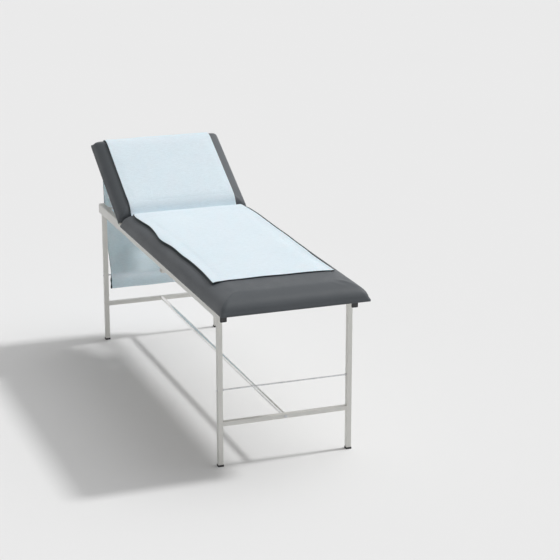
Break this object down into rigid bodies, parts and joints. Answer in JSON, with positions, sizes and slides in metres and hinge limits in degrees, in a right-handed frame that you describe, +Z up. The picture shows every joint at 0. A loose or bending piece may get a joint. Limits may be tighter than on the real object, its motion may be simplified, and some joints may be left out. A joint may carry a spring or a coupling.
{
  "type": "medical exam table",
  "caption": "Fixed-height examination couch: painted tube frame on four legs, padded vinyl seat, raisable padded backrest held by a notched stay, and a drape sheet.",
  "frame": {"origin": "on the floor, under the middle of the table's outline with the backrest raised 30 degrees", "axes": "+Y along the table towards the head end, +X to the right seen from the foot end, +Z up from the floor"},
  "size_m": [0.64, 1.9719, 1.0006],
  "materials": {
    "frame_paint": "satin",
    "black_plastic": "matte",
    "chrome": "polished",
    "zinc_steel": "satin",
    "board": "matte",
    "foam": "matte",
    "vinyl": "satin",
    "sheet_cloth": "matte",
    "nylon": "satin"
  },
  "bodies": {
    "frame": {"cross_member_front": "frame_paint", "cross_member_hinge": "frame_paint", "cross_member_mid": "frame_paint", "crossbar_front": "frame_paint", "crossbar_rear": "frame_paint", "foot_cap_front_left": "black_plastic", "foot_cap_front_right": "black_plastic", "foot_cap_rear_left": "black_plastic", "foot_cap_rear_right": "black_plastic", "guide_screws": "zinc_steel", "hinge_leaf_seat_left": "zinc_steel", "hinge_leaf_seat_right": "zinc_steel", "hinge_pin_left": "zinc_steel", "hinge_pin_right": "zinc_steel", "hinge_screws_seat": "zinc_steel", "leg_front_left": "frame_paint", "leg_front_right": "frame_paint", "leg_rear_left": "frame_paint", "leg_rear_right": "frame_paint", "mid_member_screws": "zinc_steel", "rail_end_cap_front_left": "black_plastic", "rail_end_cap_front_right": "black_plastic", "rail_end_cap_rear_left": "black_plastic", "rail_end_cap_rear_right": "black_plastic", "seat_board": "board", "seat_board_screws": "zinc_steel", "seat_cover": "vinyl", "seat_foam": "foam", "seat_sheet": "sheet_cloth", "side_rail_left": "frame_paint", "side_rail_right": "frame_paint", "stay_guide_left": "zinc_steel", "stay_guide_right": "zinc_steel", "stretcher_bolts": "zinc_steel", "stretcher_inserts": "zinc_steel", "stretcher_tube": "chrome", "tie_rod_front": "zinc_steel", "tie_rod_nuts": "zinc_steel", "tie_rod_rear": "zinc_steel"},
    "backrest": {"backrest_bearer_left": "frame_paint", "backrest_bearer_right": "frame_paint", "backrest_board": "board", "backrest_cover": "vinyl", "backrest_foam": "foam", "backrest_screws": "zinc_steel", "backrest_sheet": "sheet_cloth", "hinge_leaf_back_left": "zinc_steel", "hinge_leaf_back_right": "zinc_steel", "hinge_screws_back": "zinc_steel", "stay_lug_left": "zinc_steel", "stay_lug_right": "zinc_steel", "stay_pivot_pin_left": "zinc_steel", "stay_pivot_pin_right": "zinc_steel"},
    "stay": {"stay_arm_left": "zinc_steel", "stay_arm_right": "zinc_steel", "stay_foot_bar": "zinc_steel", "stay_foot_sleeve_left": "nylon", "stay_foot_sleeve_right": "nylon"},
    "sheet_tail": {"hanging_sheet": "sheet_cloth"}
  },
  "joints": [
    {"name": "backrest_hinge", "type": "hinge", "parent": "frame", "child": "backrest", "pos_m": [0, 0.502, 0.691], "axis": [1, 0, 0], "range_deg": [-30, 30]},
    {"name": "stay_pivot", "type": "hinge", "parent": "backrest", "child": "stay", "pos_m": [0, 0.6862, 0.77195], "axis": [1, 0, 0], "range_deg": [-57, 57]},
    {"name": "sheet_tail_hang", "type": "hinge", "parent": "backrest", "child": "sheet_tail", "pos_m": [0, 0.98388, 0.97037], "axis": [1, 0, 0], "range_deg": [-30, 30]}
  ],
  "couplings": [
    {"joint": "stay_pivot", "follows": "backrest_hinge", "ratio": -1.8904},
    {"joint": "sheet_tail_hang", "follows": "backrest_hinge", "ratio": -1}
  ]
}
